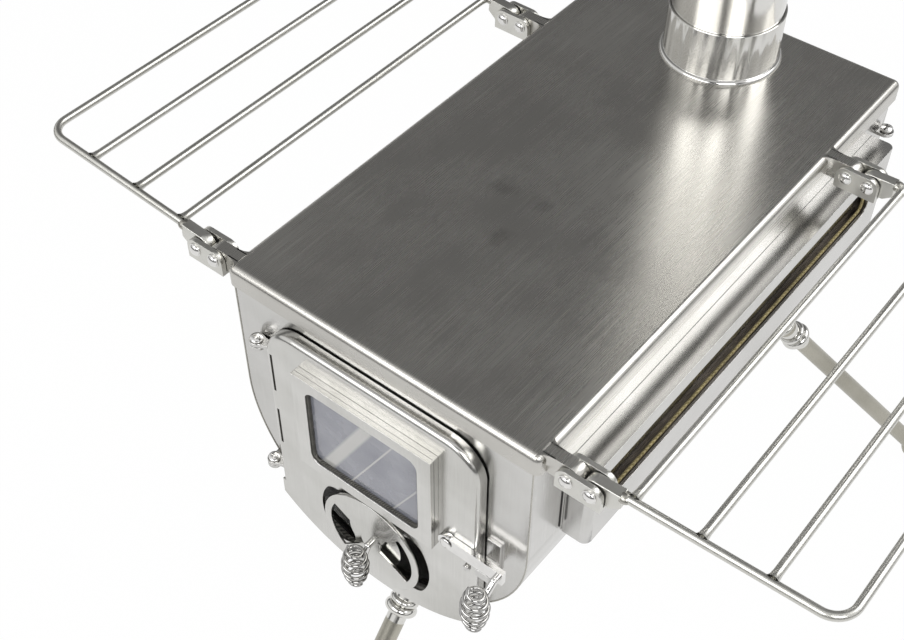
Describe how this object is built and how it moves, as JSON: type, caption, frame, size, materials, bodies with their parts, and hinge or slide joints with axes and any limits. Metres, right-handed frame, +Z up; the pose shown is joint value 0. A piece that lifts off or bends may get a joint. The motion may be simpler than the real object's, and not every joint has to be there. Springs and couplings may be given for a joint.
{
  "type": "tent wood stove",
  "caption": "Stainless tent wood stove with a round bottom, glazed door with a turning air damper and spring handles, side window, folding rod shelves, screwed legs and a chimney pipe.",
  "frame": {"origin": "on the floor, in the middle of the footprint's box", "axes": "+Z up, the door faces -Y, +X is the side with the window (the right-hand side seen from the front)"},
  "size_m": [0.6427, 0.7422, 0.8853],
  "materials": {
    "satin_stainless": "satin",
    "dark_stainless": "brushed, heat darkened",
    "polished_stainless": "polished",
    "ceramic_glass": "gloss",
    "rope_gasket": "woven",
    "door_rope": "woven",
    "steel_screws": "satin",
    "spring_steel": "polished",
    "shelf_rods": "satin",
    "grate_steel": "heat darkened"
  },
  "bodies": {
    "stove": {"firebox_wrap": "satin_stainless", "front_plate": "satin_stainless", "back_plate": "satin_stainless", "top_plate": "dark_stainless", "flue_collar": "polished_stainless", "window_box": "satin_stainless", "window_glass": "ceramic_glass", "window_gasket": "rope_gasket", "window_clamp": "satin_stainless", "window_bolts": "steel_screws", "rear_tab": "satin_stainless", "rear_tab_screw": "steel_screws", "hinge_lug_upper": "satin_stainless", "hinge_lug_lower": "satin_stainless", "hinge_screw_upper": "steel_screws", "hinge_screw_lower": "steel_screws", "latch_catch": "satin_stainless", "leg_socket_front": "polished_stainless", "leg_socket_left": "polished_stainless", "leg_socket_right": "polished_stainless", "leg_front": "polished_stainless", "leg_left": "polished_stainless", "leg_right": "polished_stainless", "foot_front": "polished_stainless", "foot_left": "polished_stainless", "foot_right": "polished_stainless", "ear_left_front": "satin_stainless", "ear_left_rear": "satin_stainless", "ear_right_front": "satin_stainless", "ear_right_rear": "satin_stainless", "fire_grate": "grate_steel"},
    "door": {"door_panel": "satin_stainless", "door_bezel": "satin_stainless", "door_glass": "ceramic_glass", "door_glass_gasket": "door_rope", "door_seal": "door_rope", "door_knuckle_upper": "satin_stainless", "door_knuckle_lower": "satin_stainless", "damper_bush": "satin_stainless", "latch_rivet": "steel_screws", "door_stud": "steel_screws"},
    "damper": {"damper_disc": "polished_stainless", "damper_spindle": "polished_stainless", "damper_rod": "spring_steel", "damper_spring": "spring_steel"},
    "latch": {"latch_bar": "polished_stainless", "latch_rod": "spring_steel", "latch_spring": "spring_steel"},
    "left_links": {"link_left_front": "satin_stainless", "link_left_rear": "satin_stainless"},
    "right_links": {"link_right_front": "satin_stainless", "link_right_rear": "satin_stainless"},
    "left_shelf": {"shelf_left": "shelf_rods", "tongue_left_front": "satin_stainless", "tongue_left_rear": "satin_stainless"},
    "right_shelf": {"shelf_right": "shelf_rods", "tongue_right_front": "satin_stainless", "tongue_right_rear": "satin_stainless"},
    "chimney": {"chimney_pipe": "polished_stainless"}
  },
  "joints": [
    {"name": "door_hinge", "type": "hinge", "parent": "stove", "child": "door", "pos_m": [-0.1025, -0.224, 0.395], "axis": [0, 0, -1], "range_deg": [0, 160]},
    {"name": "damper_turn", "type": "hinge", "parent": "door", "child": "damper", "pos_m": [0, -0.23235, 0.3165], "axis": [0, -1, 0], "range_deg": [0, 90]},
    {"name": "latch_lift", "type": "hinge", "parent": "door", "child": "latch", "pos_m": [0.069, -0.2309, 0.381], "axis": [0, -1, 0], "range_deg": [0, 50]},
    {"name": "right_link_fold", "type": "hinge", "parent": "stove", "child": "right_links", "pos_m": [0.1451, -0.0365, 0.4968], "axis": [0, -1, 0], "range_deg": [0, 90]},
    {"name": "left_link_fold", "type": "hinge", "parent": "stove", "child": "left_links", "pos_m": [-0.1451, -0.0365, 0.4968], "axis": [0, 1, 0], "range_deg": [0, 90]},
    {"name": "right_shelf_fold", "type": "hinge", "parent": "right_links", "child": "right_shelf", "pos_m": [0.1621, -0.0365, 0.4968], "axis": [0, -1, 0], "range_deg": [0, 75]},
    {"name": "left_shelf_fold", "type": "hinge", "parent": "left_links", "child": "left_shelf", "pos_m": [-0.1621, -0.0365, 0.4968], "axis": [0, 1, 0], "range_deg": [0, 65]},
    {"name": "pipe_lift", "type": "slide", "parent": "stove", "child": "chimney", "axis": [0, 0, 1], "range_m": [0, 0.06]}
  ]
}
